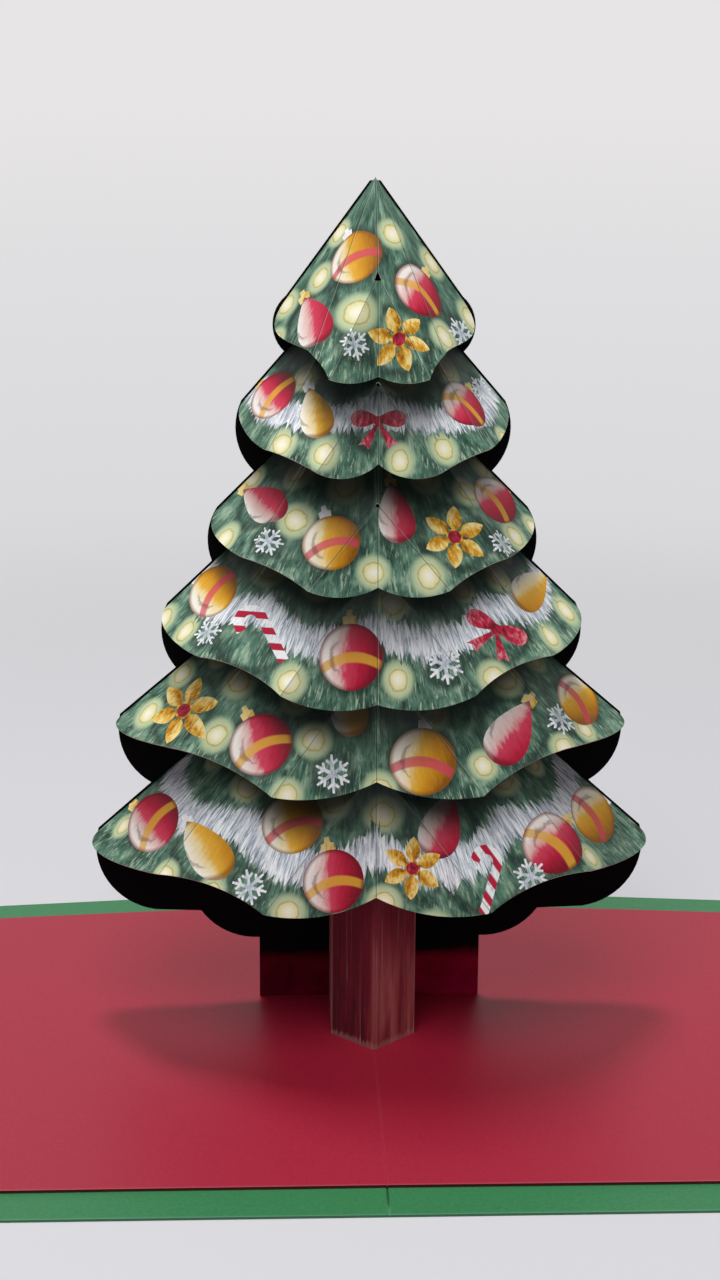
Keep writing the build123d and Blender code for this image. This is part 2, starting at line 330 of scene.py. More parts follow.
def flowerShape(petals=6, steps=9):
    # pointed petals round a small heart
    points = []
    for petal in range(petals):
        spine = 2 * pi * petal / petals
        for i in range(2 * steps):
            along = (i if i < steps else 2 * steps - 1 - i) / (steps - 1)
            half = 0.24 * sin(pi * (0.12 + 0.88 * along)) ** 0.8 * (1 if i < steps else -1)
            reach = 0.26 + 0.74 * along
            turn = spine - half / max(reach, 0.4)
            points.append(Vector((sin(turn), cos(turn))) * reach)
    return points


def caneShape():
    # a stick with a crook, drawn along its middle line
    middle = [Vector((0.3, -1.0 + 0.2 * i)) for i in range(8)]
    middle += [Vector((0.3 * cos(pi * i / 8), 0.4 + 0.3 * sin(pi * i / 8))) for i in range(9)]
    middle += [Vector((-0.3, 0.25))]
    left, right = [], []
    for before, point, after in zip([middle[0]] + middle, middle, middle[1:] + [middle[-1]]):
        way = after - before
        across = Vector((-way.y, way.x)).normalized() * 0.13
        left.append(point + across)
        right.append(point - across)
    return right + left[::-1]


def loopShape(side):  # one loop of a bow
    points = []
    for turn in (2 * pi * i / 20 for i in range(20)):
        height = 0.38 * sin(turn) * (0.45 + 0.55 * cos(turn / 2) ** 2)
        points.append(Vector((side * (0.5 + 0.5 * cos(turn)), 0.12 + height)))
    return points


def tailShape(side):  # one tail of a bow, cut to a swallowtail
    return [Vector((side * x, y)) for x, y in ((0, 0.05), (0.72, -0.78), (0.5, -0.74), (0.36, -0.92),
                                               (-0.02, -0.05))]


capShape = [Vector(p) for p in ((-0.2, 0.93), (0.2, 0.93), (0.22, 1.2), (0.1, 1.24), (0.08, 1.42),
                                (-0.08, 1.42), (-0.1, 1.24), (-0.22, 1.2))]
ornamentParts = {  # ornament: its parts, each an outline and the paint it takes
    "light": [(circleShape(), "light")],
    "redBall": [(capShape, "goldLeaf"), (circleShape(), "red")],
    "goldBall": [(capShape, "silver"), (circleShape(), "gold")],
    "redDrop": [(capShape, "goldLeaf"), (dropShape(), "red")],
    "goldDrop": [(capShape, "silver"), (dropShape(), "gold")],
    "flake": [(flakeShape(), "silver")],
    "flower": [(flowerShape(), "goldLeaf"), ([p * 0.2 for p in circleShape(14)], "ribbon")],
    "cane": [(caneShape(), "cane")],
    "bow": [(tailShape(-1), "ribbon"), (tailShape(1), "ribbon"), (loopShape(-1), "ribbon"),
            (loopShape(1), "ribbon"), ([p * 0.18 + Vector((0, 0.05)) for p in circleShape(12)], "ribbon")],
}
# ornaments by tier: kind, place across (-1 left edge, 1 right edge), mm from the sheet's apex, size, turn
tierPrint = [
    [("goldBall", -0.30, 16.0, 5.2, 10), ("redBall", 0.42, 22.5, 5.2, -14), ("redDrop", -0.54, 28.0, 5.8, 8),
     ("flower", 0.13, 31.5, 5.8, 20), ("flake", 0.70, 31.0, 3.2, 0), ("flake", -0.15, 32.5, 2.8, 12)],
    [("redBall", -0.76, 31.0, 4.8, 22), ("bow", 0.0, 33.5, 5.0, 0), ("redBall", 0.56, 32.0, 4.7, -8),
     ("goldDrop", -0.36, 32.5, 4.7, 4), ("flake", 0.86, 30.5, 2.7, 10)],
    [("redDrop", -0.72, 33.0, 5.5, 26), ("goldBall", -0.22, 37.0, 5.1, 5), ("flower", 0.37, 37.0, 6.0, 8),
     ("redBall", 0.80, 33.5, 4.8, -24), ("flake", -0.50, 39.5, 2.8, 0), ("flake", 0.58, 41.0, 2.8, 30),
     ("redDrop", 0.10, 31.0, 5.2, 10)],
    [("goldBall", -0.83, 43.0, 5.1, 28), ("cane", -0.48, 46.0, 7.0, 12), ("redBall", -0.10, 46.5, 5.8, 0),
     ("bow", 0.48, 45.5, 5.8, -8), ("flake", 0.24, 49.0, 3.4, 15), ("goldDrop", 0.83, 42.5, 5.5, -24),
     ("flake", -0.67, 49.5, 2.9, 5)],
    [("goldDrop", -0.13, 38.0, 5.4, 8), ("flower", -0.77, 50.0, 6.8, 15), ("redBall", -0.42, 48.5, 5.7, 12),
     ("flake", -0.15, 50.5, 3.4, 0), ("goldBall", 0.16, 48.5, 5.9, 0), ("redDrop", 0.51, 48.0, 6.2, -16),
     ("flake", 0.71, 51.0, 3.2, 20), ("goldBall", 0.89, 51.5, 4.8, -30)],
    [("goldBall", -0.33, 45.0, 5.6, 6), ("redDrop", 0.26, 44.5, 6.0, -12), ("redBall", -0.84, 57.5, 5.5, 30),
     ("goldDrop", -0.58, 55.0, 5.8, 18), ("flake", -0.39, 58.0, 3.3, 0), ("redBall", -0.14, 53.8, 5.6, 6),
     ("cane", 0.34, 55.0, 6.8, -10), ("flower", 0.12, 51.5, 5.6, 0), ("redBall", 0.61, 55.5, 5.6, -20),
     ("flake", 0.48, 58.5, 3.3, 30), ("goldBall", 0.87, 57.5, 5.2, -30)],
]
# an ornament hangs this share of its angle back to upright, and is drawn broader by widen from wideFrom out
hangLook = {"upright": 0.4, "wideFrom": 0.45, "widen": 1.2, "seed": 70}
# garlands: tier number, mm from the apex at the ends of a swag, its sag, half width, swags across the sheet
garlands = {2: dict(reach=31.5, sag=2.6, half=3.1, swags=2), 4: dict(reach=41.5, sag=3.6, half=3.5, swags=4),
            6: dict(reach=48.0, sag=4.4, half=4.0, swags=4)}
# tinsel's jagged sides: mm from tip to notch, how far each stands out as a share of the half width, and lean
tinselLook = {"step": 0.6, "tip": (0.95, 1.5), "notch": (0.4, 0.95), "lean": 0.8}
# painted lamps: size of the halo, how much of it is the lamp, how size, turn and width vary, how far across
# they lie and how clear of the rim, tries, and the most and nearest to the apex by tier
lightPlan = {"size": 4.1, "heart": 0.62, "sizes": (0.85, 1.15), "turns": (-40, 40), "widths": (0.8, 1.1),
             "across": 0.96, "rimGap": 0.5, "tries": 1500,
             "most": [9, 9, 12, 14, 15, 16], "near": [6, 24, 25, 31, 37, 40]}


def swagReach(garland, share):  # mm from the apex, at a place -1 to 1 across the sheet
    return garland["reach"] + garland["sag"] * abs(sin(pi * garland["swags"] * (share + 1) / 2))


def garlandPrint(sheet, garland, draw):
    stepAngle = degrees(tinselLook["step"] / garland["reach"])
    count = int(2 * sheet.edgeAngle / stepAngle)
    upper, lower = [], []
    for i in range(count + 1):
        share = -1 + 2 * i / count
        for row, way in ((upper, -1), (lower, 1)):
            spike = draw.uniform(*tinselLook["tip"]) if i % 2 else draw.uniform(*tinselLook["notch"])
            lean = draw.uniform(-tinselLook["lean"], tinselLook["lean"]) * stepAngle
            reach = swagReach(garland, share) + way * garland["half"] * spike
            row.append(polar(share * sheet.edgeAngle + lean, reach))

    def local(p):
        angle = degrees(atan2(p.x, -p.y))
        across = (p.length - swagReach(garland, angle / sheet.edgeAngle)) / garland["half"]
        return Vector((radians(angle) * garland["reach"], across, 0.0))

    return upper + lower[::-1], "tinsel", local


def ornamentPrints(kind, centre, size, turn, wide):
    # the loops of one ornament on the sheet, widened along the rim, and where a point lies in its unit frame
    along = Matrix.Rotation(atan2(centre.x, -centre.y), 2)
    spread = along @ Matrix(((size * wide, 0), (0, size))) @ along.transposed()
    spread = spread @ Matrix.Rotation(radians(turn), 2)
    unspread = spread.inverted()
    banded = 1.0 if kind.endswith("Ball") else 0.0

    def local(p):
        q = unspread @ (p - centre)
        return Vector((q.x, q.y, banded))

    return [([centre + spread @ p for p in shape], paint, local) for shape, paint in ornamentParts[kind]]


def sheetPrints(number, sheet):
    # lamps first, then the garland and the ornaments, which lie over them
    draw = random.Random(hangLook["seed"] + number)
    placed, prints, lamps, halos = [], [], [], []
    for kind, share, reach, size, turn in tierPrint[number - 1]:
        angle = share * sheet.edgeAngle
        centre = polar(angle, reach)
        placed.append((centre, size))
        wide = 1 + hangLook["widen"] * max(0.0, abs(share) - hangLook["wideFrom"])
        prints += ornamentPrints(kind, centre, size, turn - angle * hangLook["upright"], wide)
    garland = garlands.get(number)
    if garland:
        prints.insert(0, garlandPrint(sheet, garland, draw))
    nearest, furthest = lightPlan["near"][number - 1], sheet.fold["outer"] - lightPlan["rimGap"]
    for _ in range(lightPlan["tries"]):
        share = draw.uniform(-lightPlan["across"], lightPlan["across"])
        centre = polar(share * sheet.edgeAngle, draw.uniform(nearest, furthest))
        size = lightPlan["size"] * draw.uniform(*lightPlan["sizes"])
        heart = size * lightPlan["heart"]
        clear = all((centre - other).length > heart + reach for other, reach in placed)
        clear = clear and all((centre - other).length > size + reach for other, reach in halos)
        if garland and clear:
            clear = abs(centre.length - swagReach(garland, share)) > garland["half"] + heart
        if clear and len(halos) < lightPlan["most"][number - 1]:
            halos.append((centre, size))
            turn = draw.uniform(*lightPlan["turns"])
            lamps += ornamentPrints("light", centre, size, turn, draw.uniform(*lightPlan["widths"]))
    return lamps + prints, placed


def creaseLines(sheet):
    # the folds that show on the printed face, and the two along its glued edges
    f = sheet.fold
    lines = [(Vector((0, -f["tip"])), sheet.hole), (sheet.hole, sheet.hole + Vector((0, -f["valley"])))]
    hems = []
    for flip in (Vector((-1, 1)), Vector((1, 1))):
        lines.append((sheet.outerFlat * f["tip"] * flip, sheet.outerFlat * f["outer"] * flip))
        lines.append((sheet.hole, sheet.hole + sheet.innerFlat * f["inner"] * flip))
        hems.append((sheet.edgeFlat * f["tip"] * flip, sheet.edgeFlat * f["edge"] * flip))
    return lines, hems


def creaseDistance(line, p):  # signed distance to a fold, and how far past its ends the point lies
    start, end = line
    along = (end - start).normalized()
    q = p - start
    past = max(0.0, -q.dot(along), q.dot(along) - (end - start).length)
    return along.cross(q), past


# painted shade under the rim of the tier above: all of it down to start, none from end (mm below that rim);
# it ends lower by middle on the sheet's middle line, and by nothing from reach mm beside it
shadeLook = {"start": 2.4, "end": 8.6, "middle": 6.0, "reach": 26.0}


def rimHeights(number):
    # how high the rim of the tier above hangs, by place across in whole mm
    heights = {}
    if number > 1:
        above = FoldedSheet(tierFolds[number - 2])
        for spot in (above.place(p, 0.0) for p in above.halfOutline()[1]):
            for key in (int(spot.x), int(spot.x) + 1):
                heights[key] = min(heights.get(key, inf), spot.z)
    return heights


# painted shade: how much of it falls on a spot under the tier above, from 0 to 1
def rimShade(spot, heights):
    below = heights.get(round(abs(spot.x)), inf) - spot.z
    last = shadeLook["end"] + shadeLook["middle"] * max(0.0, 1 - abs(spot.x) / shadeLook["reach"])
    return clamp((last - below) / (last - shadeLook["start"]))


def sheetTriangles(sheet, prints):
    # the flat sheet cut along its folds and prints: its points, and each triangle with its paint and motif
    points, edges, faces, inks = [], [], [], []

    def addLoop(loop, ink):
        if sum(a.cross(b) for a, b in zip(loop, loop[1:] + loop[:1])) < 0:
            loop = loop[::-1]
        faces.append(list(range(len(points), len(points) + len(loop))))
        points.extend(loop)
        inks.append(ink)

    addLoop(sheet.outline(), ("fir", None))
    addLoop([sheet.hole + p for p in holeShape(sheet.fold["bore"])], ("hole", None))
    for loop, paint, local in prints:
        addLoop(loop, (paint, local))
    lines, hems = creaseLines(sheet)
    for (start, end), rows in [(line, foldLook["rows"]) for line in lines] + [(hem, (0.0,)) for hem in hems]:
        across = (end - start).normalized()
        across = Vector((-across.y, across.x))
        for offset in rows:
            edges.append((len(points), len(points) + 1))
            points.extend([start + across * offset, end + across * offset])
    low = [min(p[i] for p in points) for i in (0, 1)]
    high = [max(p[i] for p in points) for i in (0, 1)]
    step = foldLook["grid"]
    row, y = 0, low[1]
    while y < high[1]:
        x = low[0] + (row % 2) * step / 2
        while x < high[0]:
            points.append(Vector((x, y)))
            x += step
        row += 1
        y += step * 0.87  # rows of near equal triangles
    flat, _, triangles, _, _, sources = delaunay_2d_cdt(points, edges, faces, 1, 1e-4)
    flat = [Vector(p) for p in flat]
    inked = []
    for triangle, source in zip(triangles, sources):
        if 0 not in source or 1 in source:  # beside the sheet, or in its hole
            continue
        a, b, c = triangle
        if (flat[b] - flat[a]).cross(flat[c] - flat[a]) < 0:
            triangle = (a, c, b)
        inked.append((tuple(triangle), *inks[max(source)]))  # the last print lies on top
    return flat, inked


# marks for the paint: a fold counts until ends mm past it, and a corner with none near gets far; the dark
# beside an ornament is dusk mm wide; needles grow from this share of the sheet's length; and layer gives each
# tier its own strokes
markLook = {"ends": 0.2, "far": 9.0, "dusk": 1.8, "needles": 0.76, "layer": 7.0}


def cornerMarks(number, sheet, flat, spots, inked, placed):
    # for each corner of the printed face: place in an ornament, place under the brush, marks, shade
    lines = creaseLines(sheet)[0]
    heights = rimHeights(number)
    outer, needles = sheet.fold["outer"], markLook["needles"]
    marks = {"motif": [], "brush": [], "marks": [], "shade": []}

    def reachOf(line, p):
        away, past = creaseDistance(line, p)
        return abs(away) + 9 * past

    for triangle, _, local in inked:
        middle = sum((flat[i] for i in triangle), Vector((0, 0))) / 3
        line = min(lines, key=lambda item: reachOf(item, middle))
        for i in triangle:
            p = flat[i]
            away, past = creaseDistance(line, p)
            near = min(((p - centre).length - size for centre, size in placed), default=markLook["far"])
            marks["motif"].extend(local(p) if local else (0, 0, 0))
            marks["brush"].extend((atan2(p.x, -p.y) * outer, p.length, number * markLook["layer"]))
            marks["marks"].extend((away if past < markLook["ends"] else markLook["far"],
                                   max(0.0, 1 - abs(near) / markLook["dusk"]),
                                   clamp((p.length / outer - needles) / (1 - needles))))
            marks["shade"].append(rimShade(spots[i], heights))
    return marks


def buildTier(number, paints):
    sheet = FoldedSheet(tierFolds[number - 1])
    prints, placed = sheetPrints(number, sheet)
    flat, inked = sheetTriangles(sheet, prints)
    used = sorted({i for triangle, _, _ in inked for i in triangle})
    index = {old: new for new, old in enumerate(used)}
    top = [sheet.place(flat[i], 0.0) for i in used]
    under = [sheet.place(flat[i], foldLook["sheet"]) for i in used]
    count = len(used)
    tops = [tuple(index[i] for i in triangle) for triangle, _, _ in inked]
    unders = [tuple(i + count for i in reversed(triangle)) for triangle in tops]
    ways = dict.fromkeys(way for triangle in tops for way in zip(triangle, triangle[1:] + triangle[:1]))
    rims = [(b, a, a + count, b + count) for a, b in ways if (b, a) not in ways]
    mesh = bpy.data.meshes.new(f"printedTier{number}")
    mesh.from_pydata([p * mm(1) for p in top + under], [], tops + unders + rims)
    for material in paints.values():
        mesh.materials.append(material)
    slots = list(paints)
    faceSlots = [slots.index(paint) for _, paint, _ in inked]
    faceSlots += [slots.index("blackBack")] * len(unders) + [slots.index("cutRim")] * len(rims)
    mesh.polygons.foreach_set("material_index", faceSlots)
    mesh.polygons.foreach_set("use_smooth", [True] * len(mesh.polygons))
    marks = cornerMarks(number, sheet, flat, dict(zip(used, top)), inked, placed)
    for name, values in marks.items():
        kind, field, size = ("FLOAT", "value", 1) if name == "shade" else ("FLOAT_VECTOR", "vector", 3)
        layer = mesh.attributes.new(name, kind, "CORNER")
        layer.data.foreach_set(field, values + [0.0] * (size * len(mesh.loops) - len(values)))
    edgeOf = {tuple(sorted(edge.vertices)): edge for edge in mesh.edges}
    for b, a, aUnder, bUnder in rims:
        for pair in ((a, b), (aUnder, bUnder)):
            edgeOf[tuple(sorted(pair))].use_edge_sharp = True
    mesh.update()
    piece = bpy.data.objects.new(f"printed_tier_{number}", mesh)
    bpy.context.scene.collection.objects.link(piece)
    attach(piece, "root")
    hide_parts(f"tier_{number}")
    return piece


# Printed paper: coated on the face and inked black on the back. It gives a matt face with a faint satin
# sheen, brush marks in the print, and a pale fibre line where it is cut. Strokes and grain are drawn coarser
# than real ones, so that they show (mm).
printLook = {
    "grainMm": 0.25, "grainHigh": 0.03, "rough": 0.55, "specular": 0.2,
    "deep": "#0A120F", "deepest": 0.93,  # shade under the tier above
    "line": "#1B2825", "lineFade": (0.13, 0.04), "foldPale": "#B9C7B4", "foldPaleOff": 0.19, "foldPaleFade": (0.1, 0.02),
}
# watercolour green: blots and strokes by their shares, then needles and gaps, everywhere and more by the rim
firLook = {
    "tones": ["#20392F", "#436757", "#658A75", "#ABC3A8"], "stops": (0.35, 0.46, 0.55, 0.68),
    "blotMm": 3.6, "blots": 0.62, "strokeMm": (1.0, 3.6), "strokes": 0.38,
    "needle": "#BACDB0", "needleMm": (0.45, 3.0), "needleFade": (0.55, 0.64),
    "gap": "#1B2E26", "gapMm": (0.585, 3.0), "gapFade": (0.56, 0.66),
    "allOver": 0.16, "byRim": 0.62, "dusk": "#162A23", "duskest": 0.75,
}
# ornaments: tones, and where each paint changes, as places in its noise or shares of the ornament's size
motifLook = {
    "wobbleMm": 2.2, "wobble": 0.3,
    "glow": ["#FFFBEA", "#F8F2CC", "#E6E1A8", "#BAB16C", "#CED6AC", "#A8C09A"],
    "glowStops": (0.05, 0.24, 0.42, 0.48, 0.54, 0.8), "halo": (0.68, 0.98),
    "red": ["#FBF3EC", "#EDBDB8", "#D9445F", "#BC1B3B", "#7C0A22"],
    "gold": ["#FCF6E8", "#F4DCA2", "#E9B13A", "#CF8E16", "#8C540A"],
    "ballStops": (0.16, 0.34, 0.44, 0.66, 0.9), "ballMm": (0.8, 2.6), "ballStrokes": 0.45, "ballLean": -0.16,
    "contrast": 0.5, "middle": 0.29, "bandedBy": 0.1, "bandBow": 0.35, "bandFade": (0.19, 0.12),
    "ink": "#5B3A36", "inkAt": 0.6, "inkLeft": 0.25, "inkFade": (-0.05, -0.12), "rimFade": (0.84, 1.0),
    "foil": ["#8A560E", "#C68A1E", "#E6B545", "#F7DF98"],
    "ribbon": ["#6B0A1E", "#A51A36", "#C73350", "#E58C92"],
    "frost": ["#98A3B0", "#C2C9D3", "#E4E8EE", "#FFFFFF"],
    "stick": ["#B7BFCB", "#DFE3EA", "#FDFEFF", "#FFFFFF"],
    "foilStops": (0.4, 0.55, 0.7, 0.86), "foilMm": (0.7, 1.4), "outward": 0.3, "petalSide": -0.13,
    "stripe": "#BC1B3B", "stripes": (9.0, 13.0, 0),
    "tinsel": ["#7D8997", "#B7BFCB", "#DFE3EA", "#FDFEFF"], "tinselStops": (0.35, 0.44, 0.52, 0.6),
    "hairs": (2.1, 0.8, 1), "ragged": -2.0, "tinselFade": (-0.45, 0.2),
}


def brushMarks(tree, size, seed):
    # streaks that run away from the sheet's apex, so wide and so long in mm; the seed sets layers apart
    width, length = size
    field = addNode(tree, "Attribute", {"attribute_name": "brush"}).outputs["Vector"]
    scaled = addNode(tree, "VectorMath", "MULTIPLY_ADD",
                     {0: field, 1: (1 / width, 1 / length, 1), 2: (seed, seed * 0.7, seed)})
    return addNode(tree, "TexNoise", None,
                   {"Vector": scaled, "Scale": 1.0, "Detail": 3.0, "Roughness": 0.6, "Distortion": 0.4})


def firPaint(tree):
    look = firLook
    marks = addNode(tree, "Attribute", {"attribute_name": "marks"}).outputs["Vector"]
    _, beside, nearRim = addNode(tree, "SeparateXYZ", None, {0: marks}).outputs[:3]
    blots = brushMarks(tree, (look["blotMm"], look["blotMm"] * 1.4), 0.0)
    strokes = brushMarks(tree, look["strokeMm"], 7.0)
    strokes = addNode(tree, "Math", "MULTIPLY", {0: strokes, 1: look["strokes"]})
    washed = addNode(tree, "Math", "MULTIPLY_ADD", {0: blots, 1: look["blots"], 2: strokes})
    colour = addNode(tree, "ValToRGB", {"stops": (look["stops"], look["tones"])}, {0: washed})
    strong = addNode(tree, "Math", "MULTIPLY_ADD", {0: nearRim, 1: look["byRim"], 2: look["allOver"]})
    for name, seed in (("needle", 11.0), ("gap", 23.0)):
        fine = brushMarks(tree, look[name + "Mm"], seed)
        colour = layPaint(tree, colour, look[name], fine, *look[name + "Fade"], strong)
    return layPaint(tree, colour, look["dusk"], beside, 0.1, 1.0, look["duskest"])


def motifField(tree):
    # place in an ornament: as a vector, across, up, 1 if it has a band, distance from its middle, and that
    # distance with a wobble
    wobble = motifLook["wobble"]
    vector = addNode(tree, "Attribute", {"attribute_name": "motif"}).outputs["Vector"]
    u, v, banded = addNode(tree, "SeparateXYZ", None, {0: vector}).outputs[:3]
    flat = addNode(tree, "VectorMath", "MULTIPLY", {0: vector, 1: (1, 1, 0)})
    radius = addNode(tree, "VectorMath", "LENGTH", {0: flat}).outputs["Value"]
    waves = brushMarks(tree, (motifLook["wobbleMm"], motifLook["wobbleMm"]), 5.0)
    loose = addNode(tree, "Math", "MULTIPLY_ADD", {0: waves, 1: wobble, 2: radius})
    loose = addNode(tree, "Math", "SUBTRACT", {0: loose, 1: wobble / 2})
    return vector, u, v, banded, radius, loose


def lightPaint(tree):
    # a painted lamp: pale heart, a thin ochre ring and a yellow-green halo that thins out into the green
    look = motifLook
    radius, loose = motifField(tree)[4:]
    glow = addNode(tree, "ValToRGB", {"stops": (look["glowStops"], look["glow"])}, {0: loose})
    return layPaint(tree, glow, firPaint(tree), radius, *look["halo"])


def ballPaint(tree, glass, band):
    # a glass ball in watercolour: cream to deep colour round its curve, a band, an ink line and a dark rim
    look, tones = motifLook, motifLook[glass]
    _, u, v, banded, radius, loose = motifField(tree)
    square = addNode(tree, "Math", "MULTIPLY", {0: v, 1: v})
    width = addNode(tree, "Math", "SUBTRACT", {0: 1.25, 1: square})
    girth = addNode(tree, "Math", "SQRT", {0: width})
    around = addNode(tree, "Math", "DIVIDE", {0: u, 1: girth})
    lean = addNode(tree, "Math", "MULTIPLY_ADD", {0: v, 1: look["ballLean"], 2: around})
    strokes = brushMarks(tree, look["ballMm"], 31.0)
    marks = addNode(tree, "Math", "MULTIPLY_ADD", {0: strokes, 1: look["ballStrokes"], 2: lean})
    middle = addNode(tree, "Math", "MULTIPLY_ADD", {0: banded, 1: look["bandedBy"], 2: look["middle"]})
    tone = addNode(tree, "Math", "MULTIPLY_ADD", {0: marks, 1: look["contrast"], 2: middle})
    colour = addNode(tree, "ValToRGB", {"stops": (look["ballStops"], tones)}, {0: tone})
    curve = addNode(tree, "Math", "MULTIPLY", {0: u, 1: u})
    bowed = addNode(tree, "Math", "MULTIPLY_ADD", {0: curve, 1: look["bandBow"], 2: v})
    offBand = addNode(tree, "Math", "ABSOLUTE", {0: bowed})
    plain = addNode(tree, "Math", "SUBTRACT", {0: 1.0, 1: banded})
    offBand = addNode(tree, "Math", "ADD", {0: offBand, 1: plain})
    colour = layPaint(tree, colour, look[band][2], offBand, *look["bandFade"], 0.8)
    inside = addNode(tree, "Math", "SUBTRACT", {0: loose, 1: look["inkAt"]})
    inside = addNode(tree, "Math", "ABSOLUTE", {0: inside})
    leftOnly = addNode(tree, "Math", "MULTIPLY_ADD", {0: u, 1: look["inkLeft"], 2: inside})
    colour = layPaint(tree, colour, look["ink"], leftOnly, *look["inkFade"], 0.5)
    return layPaint(tree, colour, tones[4], radius, *look["rimFade"], 0.8)


def metalPaint(tree, tones, petals=0):
    # painted foil: strokes of light and dark; petals are light on one side of their middle line
    look = motifLook
    _, u, v, _, radius, _ = motifField(tree)
    strokes = brushMarks(tree, look["foilMm"], 41.0)
    marks = addNode(tree, "Math", "MULTIPLY_ADD", {0: radius, 1: look["outward"], 2: strokes})
    if petals:
        turn = addNode(tree, "Math", "ARCTAN2", {0: u, 1: v})
        turns = addNode(tree, "Math", "MULTIPLY", {0: turn, 1: petals})
        side = addNode(tree, "Math", "SINE", {0: turns})
        marks = addNode(tree, "Math", "MULTIPLY_ADD", {0: side, 1: look["petalSide"], 2: marks})
    return addNode(tree, "ValToRGB", {"stops": (look["foilStops"], look[tones])}, {0: marks})


def canePaint(tree):
    # barley-sugar stripes round a white stick
    vector = motifField(tree)[0]
    along = addNode(tree, "VectorMath", "DOT_PRODUCT", {0: vector, 1: motifLook["stripes"]}).outputs["Value"]
    wave = addNode(tree, "Math", "SINE", {0: along})
    return layPaint(tree, metalPaint(tree, "stick"), motifLook["stripe"], wave, 0.0, 0.3)


def tinselPaint(tree):
    # tinsel: short white strokes across the garland, blue-grey between them, thinning out to its edges
    look = motifLook
    vector, _, v = motifField(tree)[:3]
    scaled = addNode(tree, "VectorMath", "MULTIPLY", {0: vector, 1: look["hairs"]})
    hairs = addNode(tree, "TexNoise", None,
                    {"Vector": scaled, "Scale": 1.0, "Detail": 4.0, "Roughness": 0.7, "Distortion": 0.9})
    colour = addNode(tree, "ValToRGB", {"stops": (look["tinselStops"], look["tinsel"])}, {0: hairs})
    away = addNode(tree, "Math", "ABSOLUTE", {0: v})
    thin = addNode(tree, "Math", "MULTIPLY_ADD", {0: hairs, 1: look["ragged"], 2: away})
    return layPaint(tree, colour, firPaint(tree), thin, *look["tinselFade"])


def printedPaper(name, paint, *tones):
    # the print, then a pale line beside each fold and a dark line on it, and the painted shade under the tier
    # above
    look = printLook
    material, tree = newMaterial(name)
    colour = paint(tree, *tones)
    marks = addNode(tree, "Attribute", {"attribute_name": "marks"}).outputs["Vector"]
    fold = addNode(tree, "SeparateXYZ", None, {0: marks})
    # a pale line on one side of each fold
    beside = addNode(tree, "Math", "SUBTRACT", {0: fold, 1: look["foldPaleOff"]})
    offLine = addNode(tree, "Math", "ABSOLUTE", {0: beside})
    colour = layPaint(tree, colour, look["foldPale"], offLine, *look["foldPaleFade"], 0.3)
    onLine = addNode(tree, "Math", "ABSOLUTE", {0: fold})
    colour = layPaint(tree, colour, look["line"], onLine, *look["lineFade"], 0.65)
    # painted shade under the rim of the tier above, laid over every paint
    shade = addNode(tree, "Attribute", {"attribute_name": "shade"}).outputs["Fac"]
    colour = layPaint(tree, colour, look["deep"], shade, 0.0, 1.0, look["deepest"])
    grain = brushMarks(tree, (look["grainMm"], look["grainMm"]), 3.0)
    closeMaterial(tree, colour, look["rough"], grain, look["grainHigh"], look["specular"])
    return material


def plainPaper(name, colours, grainMm, roughness):
    # inked or bare paper: two near shades mottled by its fibres
    material, tree = newMaterial(name)
    fibre = paperGrain(tree, addNode(tree, "NewGeometry").outputs["Position"], grainMm)
    colour = addNode(tree, "ValToRGB", {"stops": ((0.35, 0.65), colours)}, {0: fibre})
    closeMaterial(tree, colour, roughness, fibre, 0.04, 0.3)
    return material


paints = {
    "fir": printedPaper("printedFirPaper", firPaint),
    "light": printedPaper("printedLampPaper", lightPaint),
    "red": printedPaper("printedRedPaper", ballPaint, "red", "gold"),
    "gold": printedPaper("printedGoldPaper", ballPaint, "gold", "red"),
    "goldLeaf": printedPaper("printedFoilPaper", metalPaint, "foil", 6),
    "ribbon": printedPaper("printedRibbonPaper", metalPaint, "ribbon"),
    "silver": printedPaper("printedSilverPaper", metalPaint, "frost"),
    "cane": printedPaper("printedStripePaper", canePaint),
    "tinsel": printedPaper("printedTinselPaper", tinselPaint),
    "blackBack": plainPaper("blackInkedPaper", ["#0B090A", "#151314"], 0.4, 0.75),
    "cutRim": plainPaper("cutPaperEdge", ["#A9A996", "#D9D7C4"], 0.5, 0.8),
}
tiers = [buildTier(number, paints) for number in range(1, 7)]
print("card: tiers folded,", sum(len(tier.data.polygons) for tier in tiers), "faces")


# Card stock, dyed through and calendered: an even matt colour with faint felt marks, a low soft gleam, and a
# cut edge in another tone. The grain is drawn coarser than real fibres (mm; edgeY is the sheet's front edge).
cardLook = {"grainMm": 0.6, "grainHigh": 0.02, "rough": 0.45, "specular": 0.28}
# rim: a pale line along the front edge, a painted highlight; crease: a dark crack along the gutter,
# creaseFront its paler front end
coverLook = {"shades": ["#2A7044", "#37814F"], "edge": "#376A4C", "crease": "#10301D", "creaseFront": "#5E9776",
             "rim": "#578C6C", "edgeY": -63.5}
# rim: a pale line along the front edge, a painted highlight; crease and creaseFront: a lighter red along the
# gutter, painted light over the crease's shade
pageLook = {"shades": ["#981930", "#A92039"], "edge": "#4A0A14", "crease": "#AD2640", "creaseFront": "#AD2640",
            "rim": "#AE4759", "edgeY": -55.5}


